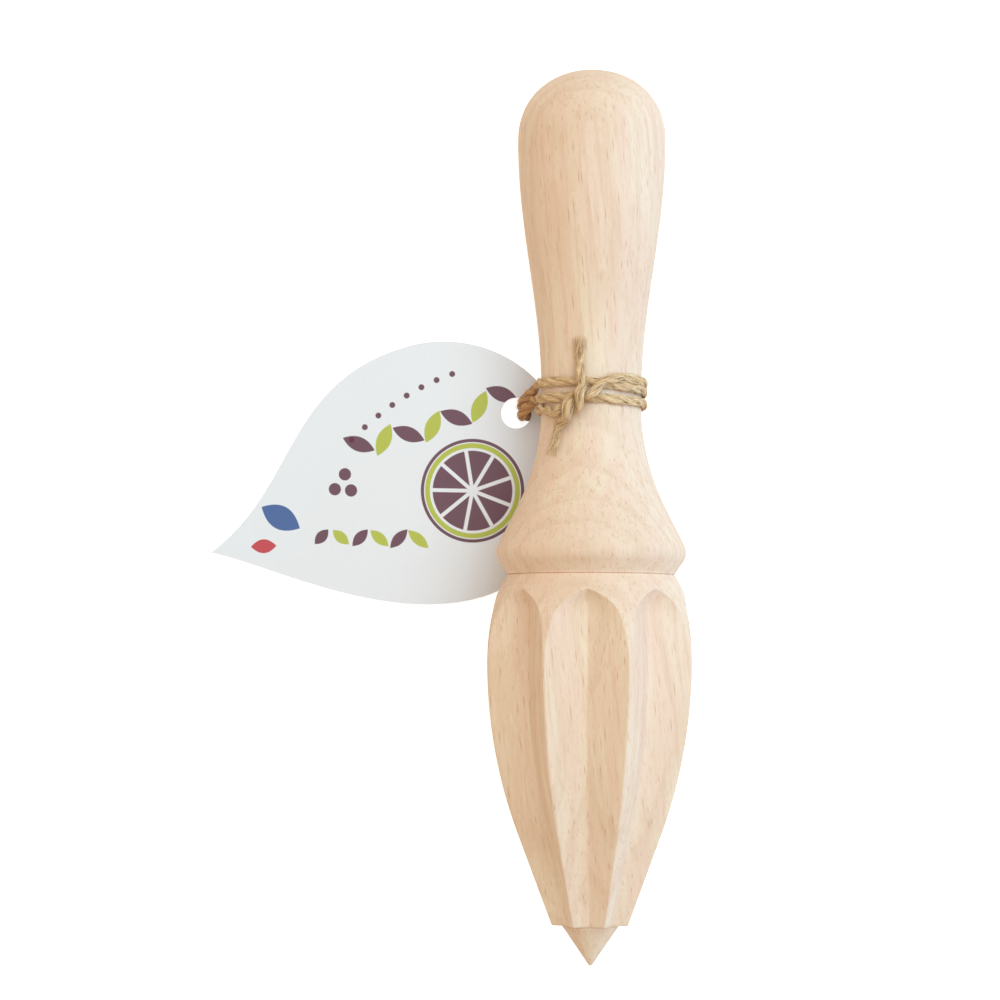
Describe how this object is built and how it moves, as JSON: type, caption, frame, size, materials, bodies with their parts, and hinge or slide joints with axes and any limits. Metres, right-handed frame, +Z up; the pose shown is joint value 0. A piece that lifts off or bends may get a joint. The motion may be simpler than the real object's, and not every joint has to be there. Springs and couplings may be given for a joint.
{
  "type": "wooden citrus reamer",
  "caption": "Turned wooden citrus reamer with a fluted pointed head, collar and tapered handle, and a leaf-shaped card tag tied to its neck with twine.",
  "frame": {"origin": "on the table, under the middle of the wooden reamer's bounding box", "axes": "+Z up, +Y from the point towards the handle's rounded end, +X towards the side away from the tag"},
  "size_m": [0.0897, 0.1598, 0.0361],
  "materials": {
    "beech": "untreated, finely sanded",
    "jute_twine": "hairy two-ply twist",
    "white_card": "smooth, lightly printed"
  },
  "bodies": {
    "reamer": {"reamer": "beech"},
    "twine": {"twine_turns": "jute_twine", "twine_knot": "jute_twine", "twine_tail_upper": "jute_twine", "twine_tail_lower": "jute_twine"},
    "tag": {"tag": "white_card"}
  },
  "joints": [
    {"name": "twine_turn", "type": "hinge", "parent": "reamer", "child": "twine", "pos_m": [0, 0.02192, 0.01559], "axis": [0, 0.9987, -0.0505], "continuous": true},
    {"name": "tag_swing", "type": "hinge", "parent": "twine", "child": "tag", "pos_m": [-0.0144, 0.0187, 0.0021], "axis": [0.0148, 0.0485, -0.9987], "range_deg": [0, 60]}
  ]
}
